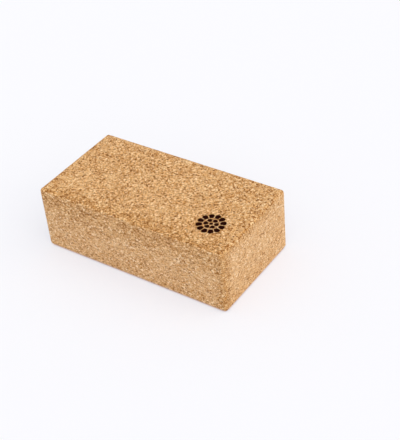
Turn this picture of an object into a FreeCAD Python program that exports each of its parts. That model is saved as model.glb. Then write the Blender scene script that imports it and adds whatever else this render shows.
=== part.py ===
"""A cork yoga block: a brick of pressed cork granules with rounded edges, and a round
rosette stamped and inked into one corner of its top face.

Millimetres, +Z up. The origin is the middle of the bottom face, +X runs along the length
and +Y across the width. The block lies on its broad side with the mark at the +X, -Y corner.
"""
import FreeCAD, Part
import math
import os

# Brick of cork
BLOCK_LENGTH = 230.0
BLOCK_WIDTH = 120.0
BLOCK_HEIGHT = 75.0
EDGE_RADIUS = 4.0

# Place of the mark on the top face
MARK_FROM_END = 36.0
MARK_FROM_SIDE = 36.5

# The stamp is pressed into the cork and its floor is covered with ink
STAMP_DEPTH = 0.4
INK_THICKNESS = 0.3

# Rosette: a disc in the middle and two rows of petals that share the room round it
MARK_RADIUS = 15.5
OUTER_PETAL_COUNT = 12
OUTER_ROW_SHARE = 22 / 39
OUTER_TIP_HEIGHT = 2.25
INNER_PETAL_COUNT = 6
INNER_TIP_HEIGHT = 2.0
PETAL_FOOT_HEIGHT = 0.4
PETAL_SPACING = 0.9
ROW_SPACING = 0.9
CENTRE_RADIUS = 2.0

# Places that follow from the sizes above
MARK_X = BLOCK_LENGTH / 2 - MARK_FROM_END
MARK_Y = -BLOCK_WIDTH / 2 + MARK_FROM_SIDE
STAMP_FLOOR = BLOCK_HEIGHT - STAMP_DEPTH
INNER_ROW_INSIDE = CENTRE_RADIUS + ROW_SPACING
PETAL_ROOM = MARK_RADIUS - INNER_ROW_INSIDE - ROW_SPACING
OUTER_ROW_INSIDE = MARK_RADIUS - PETAL_ROOM * OUTER_ROW_SHARE
INNER_ROW_OUTSIDE = OUTER_ROW_INSIDE - ROW_SPACING
OUTER_STEP = 360.0 / OUTER_PETAL_COUNT
INNER_STEP = 360.0 / INNER_PETAL_COUNT

UP = FreeCAD.Vector(0, 0, 1)
MARK_CENTRE = FreeCAD.Vector(MARK_X, MARK_Y, STAMP_FLOOR)


def disc_face(radius, centre):
    """A round face that lies on the stamp's floor."""
    edge = Part.makeCircle(radius, centre, UP)
    return Part.Face(Part.Wire([edge]))


def around_mark(face, angle):
    """A copy of the face, turned about the middle of the mark."""
    turned = face.copy()
    turned.rotate(MARK_CENTRE, UP, angle)
    return turned


def row_of_petals(count, step, first_angle, inside, outside, tip_height):
    """Petals in a circle. Each has straight sides, even gaps to its neighbours and rounded ends."""
    half_step = math.radians(step / 2)

    def corner(distance, side):
        reach = distance * math.tan(half_step) - PETAL_SPACING / 2 / math.cos(half_step)
        return MARK_CENTRE + FreeCAD.Vector(distance, side * reach, 0)

    foot = inside + PETAL_FOOT_HEIGHT
    shoulder = outside - tip_height
    tip = MARK_CENTRE + FreeCAD.Vector(outside, 0, 0)
    heel = MARK_CENTRE + FreeCAD.Vector(inside, 0, 0)
    edges = [
        Part.makeLine(corner(foot, -1), corner(shoulder, -1)),
        Part.Arc(corner(shoulder, -1), tip, corner(shoulder, 1)).toShape(),
        Part.makeLine(corner(shoulder, 1), corner(foot, 1)),
        Part.Arc(corner(foot, 1), heel, corner(foot, -1)).toShape(),
    ]
    petal = Part.Face(Part.Wire(edges))
    return [around_mark(petal, first_angle + step * number) for number in range(count)]


def outer_petal_faces():
    """The outer row of petals."""
    return row_of_petals(
        OUTER_PETAL_COUNT,
        OUTER_STEP,
        0,
        OUTER_ROW_INSIDE,
        MARK_RADIUS,
        OUTER_TIP_HEIGHT,
    )


def inner_petal_faces():
    """The inner row of petals, each pointing between two outer ones."""
    return row_of_petals(
        INNER_PETAL_COUNT,
        INNER_STEP,
        OUTER_STEP / 2,
        INNER_ROW_INSIDE,
        INNER_ROW_OUTSIDE,
        INNER_TIP_HEIGHT,
    )


def centre_faces():
    """The disc in the middle of the rosette."""
    return [disc_face(CENTRE_RADIUS, MARK_CENTRE)]


def raised(faces, height):
    """One solid above each face, as high as told."""
    return [face.extrude(UP * height) for face in faces]


# The brick, with every edge rounded
brick = Part.makeBox(
    BLOCK_LENGTH,
    BLOCK_WIDTH,
    BLOCK_HEIGHT,
    FreeCAD.Vector(-BLOCK_LENGTH / 2, -BLOCK_WIDTH / 2, 0),
)
brick = brick.makeFillet(EDGE_RADIUS, brick.Edges)

# The mark's outlines serve twice: for the pocket in the cork and for the ink that lines it
mark_outlines = {
    "mark_outer_petals": outer_petal_faces(),
    "mark_inner_petals": inner_petal_faces(),
    "mark_centre": centre_faces(),
}
pockets = []
for faces in mark_outlines.values():
    pockets += raised(faces, STAMP_DEPTH)

pieces = {"cork_body": brick.cut(pockets)}
for name, faces in mark_outlines.items():
    ink = raised(faces, INK_THICKNESS)
    pieces[name] = ink[0] if len(ink) == 1 else Part.makeCompound(ink)

os.makedirs("parts", exist_ok=True)
for name, shape in pieces.items():
    shape.exportStep(f"parts/{name}.step")
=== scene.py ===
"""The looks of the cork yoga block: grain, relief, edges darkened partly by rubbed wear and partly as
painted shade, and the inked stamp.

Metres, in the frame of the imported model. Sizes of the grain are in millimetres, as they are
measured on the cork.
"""
import math
from itertools import product

import bpy
from mathutils import Matrix, Vector


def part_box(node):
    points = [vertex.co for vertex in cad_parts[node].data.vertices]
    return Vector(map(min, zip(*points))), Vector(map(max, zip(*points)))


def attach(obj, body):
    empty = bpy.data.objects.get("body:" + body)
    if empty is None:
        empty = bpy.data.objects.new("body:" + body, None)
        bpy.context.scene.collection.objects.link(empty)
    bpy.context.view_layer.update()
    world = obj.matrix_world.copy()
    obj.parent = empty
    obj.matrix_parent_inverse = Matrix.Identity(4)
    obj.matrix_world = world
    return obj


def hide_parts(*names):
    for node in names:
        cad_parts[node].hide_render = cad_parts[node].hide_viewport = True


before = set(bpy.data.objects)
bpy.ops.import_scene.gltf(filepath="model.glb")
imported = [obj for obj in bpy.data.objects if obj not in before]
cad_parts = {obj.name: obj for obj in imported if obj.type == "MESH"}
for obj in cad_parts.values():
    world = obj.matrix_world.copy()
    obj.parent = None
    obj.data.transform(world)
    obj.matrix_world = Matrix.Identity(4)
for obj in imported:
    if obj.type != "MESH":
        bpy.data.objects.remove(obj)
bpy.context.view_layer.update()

MM = 0.001

# Picture and camera: the middle of the picture looks at CAMERA_AIM
PICTURE_HEIGHT_PX = 440
FOCAL_LENGTH_PX = 1058.1
SENSOR_SIZE_MM = 36.0
CAMERA_AIM = Vector((0.0365, 0.0151, 0.0372))
CAMERA_DISTANCE = 1.1112
CAMERA_AZIMUTH = math.radians(37.15)
CAMERA_ELEVATION = math.radians(37.71)
CAMERA_ROLL = math.radians(-5.58)

# Light, as the share of a plain white's brightness that each source gives a face turned to it
SKY_LEVEL = 0.66
SKY_COLOUR = (0.965, 0.99, 1.05)
LAMP_COLOUR = (1.05, 1.01, 0.94)
LAMP_SPREAD = math.radians(100)
KEY_LEVEL = 0.50
KEY_AZIMUTH = math.radians(76)
KEY_ELEVATION = math.radians(42)
FILL_LEVEL = 0.10
FILL_AZIMUTH = math.radians(-40)
FILL_ELEVATION = math.radians(50)

# Floor: what it throws back, and what is seen of it, part lit and part even
FLOOR_SIZE = 12.0
FLOOR_COLOUR = (0.93, 0.94, 0.96)
FLOOR_LIT = (0.543, 0.476, 0.418)
FLOOR_EVEN = (0.389, 0.460, 0.554)

# Under the block's rounded foot the even part darkens, as the open share of the space above falls: a
# painted contact shadow
FLOOR_CONTACT_SHADE = (0.23, 0.17, 0.18)
UNDER_EDGE_REACH = 8 * MM
UNDER_EDGE_OPEN = (0.2, 0.5)

# Block: its rounded edges, the grid of its mesh and the angle of a sharp edge
EDGE_RADIUS = 4.0 * MM
ROUND_STEPS = 4
GRID_STEP = 1.1 * MM
SHARP_ANGLE = math.radians(50)

# A rounded edge turns into a face while this much of its normal comes to lie along the face's axis
FACE_TURN = (0.45, 0.8)

# Grain of the cork, in millimetres. FLATTENED is how many times a grain is wider than thick
GRANULE_SIZE = 1.65
CRUMB_SIZE = 0.84
FLAKE_SIZE = 2.0
FLATTENED = 1.4
SWAY = 0.45
SWAY_SIZE = 1.6
MOTTLE_SIZE = 16.0
FIBRE_SIZE = 0.5
PORE_SIZE = 0.35

# Rims of crumbs, flakes and seams: between which distances from a border they fade, in millimetres
CRUMB_RIM = (0.02, 0.14)
FLAKE_RIM = (0.02, 0.12)
SEAM_RIM = (0.02, 0.22)

# Shares of the granules, crumbs and flakes that are crumbled, dark or pale, and how softly they end
CRUMBLED_SHARE = 0.55
SPECK_SHARE = 0.12
BARK_SHARE = 0.07
FLECK_SHARE = 0.06
PALE_SHARE = 0.075
SHARE_STEP = 0.01

# Relief of the cork: widths and depths in millimetres, and the ink's share of it
GROOVE_WIDTH = 0.5
GROOVE_DEPTH = 0.16
STEP_DEPTH = 0.12
PIT_DEPTH = 0.25
PIT_SHARE = 0.08
INK_RELIEF = 0.35

# Small bumps that only the materials have
BUMP_HEIGHT = 0.08 * MM
CRUMB_ROUNDING = 0.2
CORK_BUMP = 0.35
INK_BUMP = 0.5

# Colours of the granules, from a tone of nothing to a tone of one
GRANULE_SHADES = (
    (0.00, (0.276, 0.097, 0.014)),
    (0.13, (0.466, 0.199, 0.047)),
    (0.30, (0.694, 0.355, 0.115)),
    (0.50, (0.810, 0.470, 0.193)),
    (0.80, (0.873, 0.561, 0.271)),
    (1.00, (0.922, 0.640, 0.357)),
)

# Tones: contrast spreads them about the middle one, and two kinds of noise shift them
MIDDLE_TONE = 0.5
MOTTLE_TONE = 0.08
FIBRE_TONE = 0.10

# Other colours of the cork, and how strong they are
SPECK_COLOUR = (0.17, 0.045, 0.004)
BARK_COLOUR = (0.205, 0.066, 0.003)
FLECK_COLOUR = (0.94, 0.675, 0.377)
FLECK_STRENGTH = 0.4
PALE_STRENGTH = 0.8
SEAM_COLOUR = (0.33, 0.130, 0.025)
SEAM_STRENGTH = 0.4

# The broad faces, the sides and the ends differ in tint and contrast; the sides' cooler tint is partly
# the cut cork's own and partly painted sheen
SIDE_TINT_AND_SHEEN = (0.947, 1.003, 1.172)
SIDE_SPECKS = 0.7
BROAD_CONTRAST = 1.10
SIDE_CONTRAST = 0.93
END_CONTRAST = 0.83

# Bands along the edges, darkened partly by rubbed wear and partly as painted shade, the wide band down
# the front and the bands at the foot as painted shade only: on which face, by which other face, how wide
# in millimetres and how strong
WEAR_AND_SHADE_BANDS = (
    ("top", "front", 18.0, 0.36),
    ("front", "top", 36.0, 0.36),
    ("front", "end", 12.0, 0.50),
    ("end", "front", 16.0, 0.48),
    ("end", "top", 12.0, 0.38),
    ("front", "bottom", 18.0, 0.12),
    ("end", "bottom", 40.0, 0.14),
)
BAND_PLATEAU = 0.3
BAND_DARKER = 0.45
BAND_SMOOTHER = 0.08
BAND_SPECKS = 0.08
# Tints of the bands, partly rubbed wear and partly painted shade
WEAR_AND_SHADE_TINT = (0.96, 0.94, 0.82)
WEAR_AND_SHADE_END_TINT = (0.85, 0.76, 0.52)

# The bands have a ragged border, in millimetres, and fade to a share towards the block's back
RAGGED_SIZE = 9.0
RAGGED_REACH = 2.5
BAND_FADE = (80 * MM, 108 * MM)
BANDS_AT_BACK = 0.2

# Gloss of the cork
CORK_ROUGHNESS = (0.72, 0.92)
CORK_SPECULAR = 0.3

# Ink of the stamp: thin where a noise lies in a range
INK_COLOUR = (0.014, 0.0015, 0.0004)
INK_THIN_COLOUR = (0.034, 0.007, 0.002)
INK_PATCH_SIZE = 1.2
INK_THIN = (0.45, 0.75)
INK_ROUGHNESS = (0.75, 0.95)
INK_SPECULAR = 0.02
INK_STEP = 0.5 * MM
CUT_MARGIN = 1 * MM
MARK_NODES = ("mark_outer_petals", "mark_inner_petals", "mark_centre")

# The range that most of a noise lies in, and the middle of its colours
NOISE_RANGE = (0.3, 0.7)
NOISE_MIDDLE = (0.5, 0.5, 0.5)


def add(tree, kind, inputs=None, **settings):
    """A node with its settings made and its inputs set to values or linked to outputs."""
    node = tree.nodes.new(kind)
    for name, value in settings.items():
        setattr(node, name, value)
    for key, value in (inputs or {}).items():
        if isinstance(value, bpy.types.NodeSocket):
            tree.links.new(value, node.inputs[key])
        else:
            node.inputs[key].default_value = value
    return node


def calc(tree, operation, first, second=0.0, third=0.0):
    """The output of a math node."""
    inputs = {0: first, 1: second, 2: third}
    return add(tree, "ShaderNodeMath", inputs, operation=operation).outputs[0]


def vector(tree, operation, first, second):
    """The output of a vector math node. The second input of SCALE is a number."""
    key = "Scale" if operation == "SCALE" else 1
    return add(tree, "ShaderNodeVectorMath", {0: first, key: second}, operation=operation).outputs[0]


def split(tree, value):
    """The three numbers of a vector or a colour."""
    return add(tree, "ShaderNodeSeparateXYZ", {0: value}).outputs


def ramp(tree, value, low, high, out_low=0.0, out_high=1.0, how="SMOOTHSTEP"):
    """The value, carried from one range to another and held at its ends."""
    inputs = {"Value": value, "From Min": low, "From Max": high, "To Min": out_low, "To Max": out_high}
    return add(tree, "ShaderNodeMapRange", inputs, interpolation_type=how).outputs[0]


def highest(tree, random, share):
    """One for the highest random numbers, a share of them all, and nothing for the rest."""
    return ramp(tree, random, 1 - share, 1 - share / 2)


def mix_numbers(tree, share, first, second):
    """From the first number to the second, by a share. A mix node takes numbers at 2 and 3."""
    return add(tree, "ShaderNodeMix", {0: share, 2: first, 3: second}, data_type="FLOAT").outputs[0]


def mix_colours(tree, share, first, second, how="MIX"):
    """From the first colour to the second, or to their product, by a share."""
    # A mix node takes its colours at 6 and 7, and gives a colour at 2
    inputs = {0: share}
    for key, colour in ((6, first), (7, second)):
        inputs[key] = colour if isinstance(colour, bpy.types.NodeSocket) else (*colour, 1.0)
    return add(tree, "ShaderNodeMix", inputs, data_type="RGBA", blend_type=how).outputs[2]


def noise(tree, place, size):
    """Noise of a size about a place, both in millimetres."""
    return add(tree, "ShaderNodeTexNoise", {"Vector": place, "Scale": 1 / size}).outputs


def waver(tree, place, size, reach):
    """Noise of a size about a place, both in millimetres, from minus a reach to plus that reach."""
    return ramp(tree, noise(tree, place, size)["Fac"], *NOISE_RANGE, -reach, reach, "LINEAR")


def cells(tree, place, size):
    """Cells of a size about a place: their random numbers, and the way to their border in millimetres."""
    inputs = {"Vector": place, "Scale": 1 / size}
    inside = add(tree, "ShaderNodeTexVoronoi", inputs, feature="F1")
    border = add(tree, "ShaderNodeTexVoronoi", inputs, feature="DISTANCE_TO_EDGE")
    random = split(tree, inside.outputs["Color"])
    return random, calc(tree, "MULTIPLY", border.outputs["Distance"], size)


def grain(tree, position):
    """The cork's granules and crumbs about a position in metres, for colours and relief alike."""
    straight = vector(tree, "MULTIPLY", position, (1 / MM, 1 / MM, FLATTENED / MM))
    sway = vector(tree, "SUBTRACT", noise(tree, straight, SWAY_SIZE)["Color"], NOISE_MIDDLE)
    place = vector(tree, "ADD", straight, vector(tree, "SCALE", sway, 2 * SWAY))
    granule, granule_border = cells(tree, place, GRANULE_SIZE)
    crumb, crumb_border = cells(tree, place, CRUMB_SIZE)
    return {
        "straight": straight,
        "place": place,
        "whole": ramp(tree, granule[2], CRUMBLED_SHARE, CRUMBLED_SHARE + SHARE_STEP),
        "granule": granule,
        "granule_border": granule_border,
        "crumb": crumb,
        "crumb_border": crumb_border,
    }


def relief_group(name, strength):
    """Geometry nodes that press the grain into a surface, inwards only."""
    tree = bpy.data.node_groups.new(name, "GeometryNodeTree")
    tree.interface.new_socket("Geometry", in_out="INPUT", socket_type="NodeSocketGeometry")
    tree.interface.new_socket("Geometry", in_out="OUTPUT", socket_type="NodeSocketGeometry")
    source = add(tree, "NodeGroupInput")
    result = add(tree, "NodeGroupOutput")
    cork = grain(tree, add(tree, "GeometryNodeInputPosition").outputs[0])
    groove = ramp(tree, cork["granule_border"], 0.0, GROOVE_WIDTH, GROOVE_DEPTH, 0.0)
    step = ramp(tree, cork["granule"][0], 0.0, 1.0, STEP_DEPTH, 0.0, "LINEAR")
    pit = calc(tree, "MULTIPLY", highest(tree, cork["granule"][1], PIT_SHARE), PIT_DEPTH)
    depth = calc(tree, "ADD", calc(tree, "ADD", groove, step), pit)
    inward = calc(tree, "MULTIPLY", depth, -strength * MM)
    offset = vector(tree, "SCALE", add(tree, "GeometryNodeInputNormal").outputs[0], inward)
    moved = add(tree, "GeometryNodeSetPosition", {"Geometry": source.outputs[0], "Offset": offset})
    tree.links.new(moved.outputs[0], result.inputs[0])
    return tree


def principled(name):
    """A new material with one principled shader, its tree and that shader."""
    material = bpy.data.materials.new(name)
    material.use_nodes = True
    return material, material.node_tree, material.node_tree.nodes["Principled BSDF"]


def dress(tree, shader, colour, roughness, height, bump_strength):
    """Links a colour, a roughness and small bumps to a shader."""
    bump_inputs = {"Height": height, "Strength": bump_strength, "Distance": BUMP_HEIGHT}
    bump = add(tree, "ShaderNodeBump", bump_inputs)
    tree.links.new(colour, shader.inputs["Base Color"])
    tree.links.new(roughness, shader.inputs["Roughness"])
    tree.links.new(bump.outputs[0], shader.inputs["Normal"])


def worn_and_shaded_edges(tree, position, facing, ragged):
    """How much the cork is darkened in bands along the edges by the mark, and a little at the foot:
    partly rubbed wear and partly painted shade.
    """
    low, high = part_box("cork_body")
    from_high = split(tree, vector(tree, "SUBTRACT", high, position))
    from_low = split(tree, vector(tree, "SUBTRACT", position, low))
    depth = {"end": from_high[0], "front": from_low[1], "top": from_high[2], "bottom": from_low[2]}
    turned = {"end": facing[0], "front": calc(tree, "MULTIPLY", facing[1], -1.0), "top": facing[2]}
    wear_and_shade = 0.0
    for face, beyond, width, strength in WEAR_AND_SHADE_BANDS:
        here = ramp(tree, turned[face], *FACE_TURN, 0.0, strength)
        away = calc(tree, "ADD", calc(tree, "MULTIPLY", depth[beyond], 1 / MM), ragged)
        near = ramp(tree, away, BAND_PLATEAU * width, width, 1.0, 0.0, "LINEAR")
        wear_and_shade = calc(tree, "MAXIMUM", wear_and_shade, calc(tree, "MULTIPLY", here, near))
    return calc(tree, "MULTIPLY", wear_and_shade, ramp(tree, from_low[1], *BAND_FADE, 1.0, BANDS_AT_BACK))


def granule_shade(tree, tone):
    """The colour that a granule of a tone has."""
    shades = add(tree, "ShaderNodeValToRGB", {"Fac": tone})
    stops = shades.color_ramp.elements
    tones, colours = zip(*GRANULE_SHADES)
    # A new ramp has a stop at either end already
    for between in tones[1:-1]:
        stops.new(between)
    for stop, colour in zip(stops, colours):
        stop.color = (*colour, 1.0)
    return shades.outputs[0]


def granule_colour(tree, cork, contrast, wear_and_shade):
    """Colour of each granule or crumb, with the seams between them. Granules in the bands of wear and
    painted shade are darker.
    """
    tone = mix_numbers(tree, cork["whole"], cork["crumb"][0], cork["granule"][0])
    mottle = waver(tree, cork["straight"], MOTTLE_SIZE, MOTTLE_TONE)
    fibre = waver(tree, cork["place"], FIBRE_SIZE, FIBRE_TONE)
    tone = calc(tree, "ADD", tone, calc(tree, "ADD", mottle, fibre))
    # Granules in the bands of wear and painted shade turn darker
    tone = calc(tree, "MULTIPLY_ADD", wear_and_shade, -BAND_DARKER, tone)
    off_middle = calc(tree, "SUBTRACT", tone, MIDDLE_TONE)
    tone = calc(tree, "MULTIPLY_ADD", off_middle, contrast, MIDDLE_TONE)
    # Whole granules have no crumbs in them, so no crumb's border is near
    crumb_border = calc(tree, "MAXIMUM", cork["crumb_border"], cork["whole"])
    border = calc(tree, "MINIMUM", cork["granule_border"], crumb_border)
    seam = calc(tree, "MULTIPLY", ramp(tree, border, *SEAM_RIM, SEAM_STRENGTH, 0.0), contrast)
    return mix_colours(tree, seam, granule_shade(tree, tone), SEAM_COLOUR)


def add_specks(tree, colour, cork, plenty, wear_and_shade):
    """Some crumbs are pale flecks and some are dark specks, more of the dark ones in the bands of wear
    and painted shade.
    """
    inside = ramp(tree, cork["crumb_border"], *CRUMB_RIM)
    fleck = ramp(tree, cork["crumb"][1], FLECK_SHARE - SHARE_STEP, FLECK_SHARE, FLECK_STRENGTH, 0.0)
    colour = mix_colours(tree, calc(tree, "MULTIPLY", fleck, inside), colour, FLECK_COLOUR)
    darkness = calc(tree, "MULTIPLY_ADD", wear_and_shade, BAND_SPECKS, cork["crumb"][1])
    speck = calc(tree, "MULTIPLY", highest(tree, darkness, SPECK_SHARE), inside)
    return mix_colours(tree, calc(tree, "MULTIPLY", speck, plenty), colour, SPECK_COLOUR)


def add_flakes(tree, colour, cork, plenty):
    """Flakes among the granules, some of dark bark and some pale."""
    flake, border = cells(tree, cork["place"], FLAKE_SIZE)
    inside = ramp(tree, border, *FLAKE_RIM)
    bark = calc(tree, "MULTIPLY", highest(tree, flake[1], BARK_SHARE), plenty)
    colour = mix_colours(tree, calc(tree, "MULTIPLY", bark, inside), colour, BARK_COLOUR)
    pale = ramp(tree, flake[1], PALE_SHARE / 2, PALE_SHARE, PALE_STRENGTH, 0.0)
    return mix_colours(tree, calc(tree, "MULTIPLY", pale, inside), colour, FLECK_COLOUR)


def cork_material():
    """Bare cork: granules, specks, flecks and flakes, calmer sides made cooler partly by painted sheen,
    and edges darkened partly by rubbed wear and partly as painted shade.
    """
    material, tree, shader = principled("cork")
    coordinates = add(tree, "ShaderNodeTexCoord").outputs
    cork = grain(tree, coordinates["Object"])
    facing = split(tree, coordinates["Normal"])
    broad = ramp(tree, calc(tree, "ABSOLUTE", facing[2]), *FACE_TURN)
    end = ramp(tree, calc(tree, "ABSOLUTE", facing[0]), *FACE_TURN)
    ragged = waver(tree, cork["straight"], RAGGED_SIZE, RAGGED_REACH)
    # Bands along the edges, darkened partly by wear and partly as painted shade
    wear_and_shade = worn_and_shaded_edges(tree, coordinates["Object"], facing, ragged)

    contrast = mix_numbers(tree, end, SIDE_CONTRAST, END_CONTRAST)
    contrast = mix_numbers(tree, broad, contrast, BROAD_CONTRAST)
    plenty = mix_numbers(tree, broad, SIDE_SPECKS, 1.0)
    colour = granule_colour(tree, cork, contrast, wear_and_shade)
    colour = add_specks(tree, colour, cork, plenty, wear_and_shade)
    colour = add_flakes(tree, colour, cork, plenty)
    # Sides tinted cooler: partly the cut cork's own colour, partly painted sheen
    colour = mix_colours(tree, calc(tree, "SUBTRACT", 1.0, broad), colour, SIDE_TINT_AND_SHEEN, "MULTIPLY")
    # The bands' tint, partly wear and partly painted shade
    band_tint = mix_colours(tree, end, WEAR_AND_SHADE_TINT, WEAR_AND_SHADE_END_TINT)
    colour = mix_colours(tree, wear_and_shade, colour, band_tint, "MULTIPLY")

    roughness = ramp(tree, cork["crumb"][2], 0.0, 1.0, *CORK_ROUGHNESS, "LINEAR")
    roughness = calc(tree, "MULTIPLY_ADD", wear_and_shade, -BAND_SMOOTHER, roughness)
    rounding = ramp(tree, cork["crumb_border"], 0.0, CRUMB_ROUNDING)
    height = calc(tree, "ADD", rounding, noise(tree, cork["place"], PORE_SIZE)["Fac"])
    dress(tree, shader, colour, roughness, height, CORK_BUMP)
    shader.inputs["Specular IOR Level"].default_value = CORK_SPECULAR
    return material


def ink_material():
    """Dark brown stamping ink that has soaked into the grain and is thinner in patches."""
    material, tree, shader = principled("stamp_ink")
    cork = grain(tree, add(tree, "ShaderNodeTexCoord").outputs["Object"])
    thin = ramp(tree, noise(tree, cork["place"], INK_PATCH_SIZE)["Fac"], *INK_THIN)
    colour = mix_colours(tree, thin, INK_COLOUR, INK_THIN_COLOUR)
    roughness = ramp(tree, cork["crumb"][2], 0.0, 1.0, *INK_ROUGHNESS, "LINEAR")
    height = noise(tree, cork["place"], PORE_SIZE)["Fac"]
    dress(tree, shader, colour, roughness, height, INK_BUMP)
    shader.inputs["Specular IOR Level"].default_value = INK_SPECULAR
    return material


def seen_rays(tree):
    """One for rays that show the background: to the camera, in gloss and through glass."""
    ray = add(tree, "ShaderNodeLightPath").outputs
    mirrored = calc(tree, "MAXIMUM", ray["Is Glossy Ray"], ray["Is Transmission Ray"])
    return calc(tree, "MAXIMUM", ray["Is Camera Ray"], mirrored)


def floor_material():
    """White paper. What is seen of it is partly even, so that shadows on it stay light and cool, and
    darker under the block's foot as a painted contact shadow.
    """
    material, tree, shader = principled("floor")
    tree.nodes.remove(shader)
    paper = add(tree, "ShaderNodeBsdfDiffuse", {"Color": (*FLOOR_COLOUR, 1)})
    lit = add(tree, "ShaderNodeBsdfDiffuse", {"Color": (*FLOOR_LIT, 1)})
    # A painted contact shadow: the even part darkens where little space above is open
    space = add(tree, "ShaderNodeAmbientOcclusion", {"Distance": UNDER_EDGE_REACH}).outputs["AO"]
    even_colour = mix_colours(tree, ramp(tree, space, *UNDER_EDGE_OPEN), FLOOR_CONTACT_SHADE, FLOOR_EVEN)
    even = add(tree, "ShaderNodeEmission", {"Color": even_colour, "Strength": 1.0})
    look = add(tree, "ShaderNodeAddShader", {0: lit.outputs[0], 1: even.outputs[0]})
    shown = {0: seen_rays(tree), 1: paper.outputs[0], 2: look.outputs[0]}
    mixed = add(tree, "ShaderNodeMixShader", shown)
    tree.links.new(mixed.outputs[0], tree.nodes["Material Output"].inputs["Surface"])
    return material


def new_object(name, data):
    """A new object in the scene."""
    made = bpy.data.objects.new(name, data)
    bpy.context.scene.collection.objects.link(made)
    return made


def new_mesh(name, points, faces):
    """A mesh with smooth faces."""
    mesh = bpy.data.meshes.new(name)
    mesh.from_pydata(points, [], faces)
    mesh.shade_smooth()
    return mesh


def keep_modifiers(piece):
    """Makes what the modifiers show the piece's own mesh, with sharp edges where it is cut."""
    bpy.context.view_layer.update()
    shown = piece.evaluated_get(bpy.context.evaluated_depsgraph_get())
    mesh = bpy.data.meshes.new_from_object(shown)
    piece.modifiers.clear()
    piece.data = mesh
    mesh.set_sharp_from_angle(angle=SHARP_ANGLE)


def add_relief(piece, strength):
    """Presses the grain into a piece."""
    relief = piece.modifiers.new("relief", "NODES")
    relief.node_group = relief_group(piece.name + "_relief", strength)


def place_for(piece, node):
    """Puts a piece in the place of a CAD node."""
    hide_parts(node)
    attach(piece, "root")


def grid_lines(low, high):
    """Places of grid lines along one side: at even angles round its edges and even between them."""
    angles = [math.pi / 4 * step / ROUND_STEPS for step in range(1, ROUND_STEPS + 1)]
    rounding = [EDGE_RADIUS * math.tan(angle) for angle in angles]
    first = low + EDGE_RADIUS
    last = high - EDGE_RADIUS
    count = round((last - first) / GRID_STEP)
    lines = [first - reach for reach in reversed(rounding)]
    lines += [first + (last - first) * cell / count for cell in range(count + 1)]
    return lines + [last + reach for reach in rounding]


def cell_corners(column, row):
    """The crossings at the four corners of a cell of a grid, in turn."""
    return [(column, row), (column + 1, row), (column + 1, row + 1), (column, row + 1)]


def rounded_box(low, high):
    """Points and quads over a box with rounded edges."""
    lines = [grid_lines(low[axis], high[axis]) for axis in range(3)]
    ends = [len(each) - 1 for each in lines]
    core_low = [value + EDGE_RADIUS for value in low]
    core_high = [value - EDGE_RADIUS for value in high]
    numbers = {}
    points = []
    quads = []

    def point_number(crossing):
        """The number of the point at a crossing, which is made when it is first asked for."""
        if crossing not in numbers:
            numbers[crossing] = len(points)
            place = Vector([lines[axis][crossing[axis]] for axis in range(3)])
            core = Vector([min(max(place[axis], core_low[axis]), core_high[axis]) for axis in range(3)])
            points.append(core + (place - core).normalized() * EDGE_RADIUS)
        return numbers[crossing]

    for axis in range(3):
        across = (axis + 1) % 3
        along = (axis + 2) % 3
        for side in (0, ends[axis]):
            for column, row in product(range(ends[across]), range(ends[along])):
                corners = cell_corners(column, row)
                if side == 0:
                    corners.reverse()
                quad = []
                for corner in corners:
                    crossing = [side, side, side]
                    crossing[across], crossing[along] = corner
                    quad.append(point_number(tuple(crossing)))
                quads.append(quad)
    return points, quads


def plate(columns, rows, low, high):
    """Points and quads of a closed flat plate whose top and bottom are even grids."""
    points = []
    for height in (low.z, high.z):
        for row in range(rows + 1):
            for column in range(columns + 1):
                x = low.x + (high.x - low.x) * column / columns
                y = low.y + (high.y - low.y) * row / rows
                points.append((x, y, height))
    layer = (rows + 1) * (columns + 1)

    def number(column, row, level):
        """The number of a point, at the bottom for a level of nothing and at the top for one."""
        return level * layer + row * (columns + 1) + column

    quads = []
    for row, column in product(range(rows), range(columns)):
        corners = cell_corners(column, row)
        quads.append([number(*corner, 1) for corner in corners])
        quads.append([number(*corner, 0) for corner in reversed(corners)])
    rim = [(column, 0) for column in range(columns)]
    rim += [(columns, row) for row in range(rows)]
    rim += [(column, rows) for column in range(columns, 0, -1)]
    rim += [(0, row) for row in range(rows, 0, -1)]
    for here, there in zip(rim, rim[1:] + rim[:1]):
        quads.append([number(*here, 0), number(*there, 0), number(*there, 1), number(*here, 1)])
    return points, quads


def stamp_cutter(node, material):
    """A solid over a piece of the mark, from the pocket's floor to above the cork."""
    low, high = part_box(node)
    cutter = new_object(node + "_cutter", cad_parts[node].data.copy())
    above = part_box("cork_body")[1].z + CUT_MARGIN
    for vertex in cutter.data.vertices:
        if vertex.co.z > (low.z + high.z) / 2:
            vertex.co.z = above
    cutter.data.materials.clear()
    cutter.data.materials.append(material)
    return cutter


def add_boolean(piece, cutter, operation):
    """Cuts a piece with a cutter. The new faces keep the cutter's material."""
    cut = piece.modifiers.new(cutter.name, "BOOLEAN")
    cut.operation = operation
    cut.solver = "EXACT"
    cut.material_mode = "TRANSFER"
    cut.object = cutter


def make_body(cutters):
    """The cork brick with its relief, cut by the stamp."""
    points, quads = rounded_box(*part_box("cork_body"))
    body = new_object("cork_block", new_mesh("cork_block", points, quads))
    body.data.materials.append(cork_material())
    add_relief(body, 1.0)
    for cutter in cutters.values():
        add_boolean(body, cutter, "DIFFERENCE")
    keep_modifiers(body)
    place_for(body, "cork_body")


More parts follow.
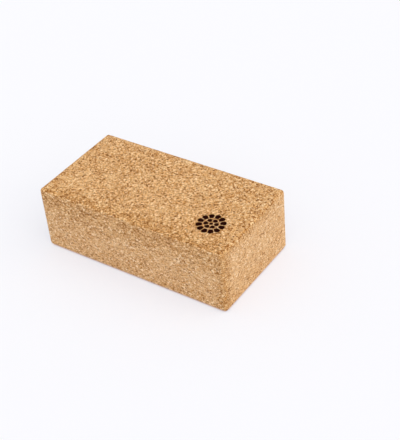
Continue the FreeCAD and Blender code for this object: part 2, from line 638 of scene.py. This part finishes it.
def make_ink(node, cutter, material):
    """The ink on one part of the stamp's floor, with a little of the grain's relief on top."""
    low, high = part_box(node)
    margin = 2 * INK_STEP
    columns = round((high.x - low.x + 2 * margin) / INK_STEP)
    rows = round((high.y - low.y + 2 * margin) / INK_STEP)
    points, quads = plate(
        columns,
        rows,
        Vector((low.x - margin, low.y - margin, low.z - CUT_MARGIN)),
        Vector((high.x + margin, high.y + margin, high.z)),
    )
    piece = new_object(node + "_ink", new_mesh(node + "_ink", points, quads))
    piece.data.materials.append(material)
    add_relief(piece, INK_RELIEF)
    add_boolean(piece, cutter, "INTERSECT")
    keep_modifiers(piece)
    place_for(piece, node)


def turn_from(azimuth, elevation):
    """Turns a lamp or a camera that looks straight down to look from an azimuth and an elevation."""
    return Matrix.Rotation(azimuth, 4, "Z") @ Matrix.Rotation(math.pi / 2 - elevation, 4, "X")


def make_camera():
    """The photograph's view."""
    data = bpy.data.cameras.new("camera")
    data.sensor_width = SENSOR_SIZE_MM
    data.lens = FOCAL_LENGTH_PX / PICTURE_HEIGHT_PX * SENSOR_SIZE_MM
    camera = new_object("camera", data)
    turn = turn_from(CAMERA_AZIMUTH, CAMERA_ELEVATION)
    place = Matrix.Translation(CAMERA_AIM + turn.to_3x3() @ Vector((0, 0, CAMERA_DISTANCE)))
    camera.matrix_world = place @ turn @ Matrix.Rotation(CAMERA_ROLL, 4, "Z")
    bpy.context.scene.camera = camera


def make_light(name, level, azimuth, elevation):
    """A broad soft light from far away. At a strength of pi it shows a white face as white."""
    lamp = bpy.data.lights.new(name, "SUN")
    lamp.energy = math.pi * level
    lamp.angle = LAMP_SPREAD
    lamp.color = LAMP_COLOUR
    new_object(name, lamp).matrix_world = turn_from(azimuth, elevation)


def make_sky():
    """Even light from all round, which itself is seen as white."""
    world = bpy.data.worlds.new("sky")
    bpy.context.scene.world = world
    world.use_nodes = True
    tree = world.node_tree
    seen = seen_rays(tree)
    background = tree.nodes["Background"].inputs
    tree.links.new(mix_colours(tree, seen, SKY_COLOUR, (1, 1, 1)), background["Color"])
    tree.links.new(mix_numbers(tree, seen, SKY_LEVEL, 1.0), background["Strength"])


def make_floor():
    """A plain pale floor."""
    half = FLOOR_SIZE / 2
    corners = [(-half, -half, 0), (half, -half, 0), (half, half, 0), (-half, half, 0)]
    floor = new_object("floor", new_mesh("floor", corners, [(0, 1, 2, 3)]))
    floor.data.materials.append(floor_material())


make_camera()
make_sky()
make_light("key", KEY_LEVEL, KEY_AZIMUTH, KEY_ELEVATION)
make_light("fill", FILL_LEVEL, FILL_AZIMUTH, FILL_ELEVATION)
make_floor()
ink = ink_material()
mark_cutters = {node: stamp_cutter(node, ink) for node in MARK_NODES}
make_body(mark_cutters)
for node, cutter in mark_cutters.items():
    make_ink(node, cutter, ink)
for cutter in mark_cutters.values():
    bpy.data.objects.remove(cutter)

bpy.context.scene.view_settings.view_transform = "Standard"
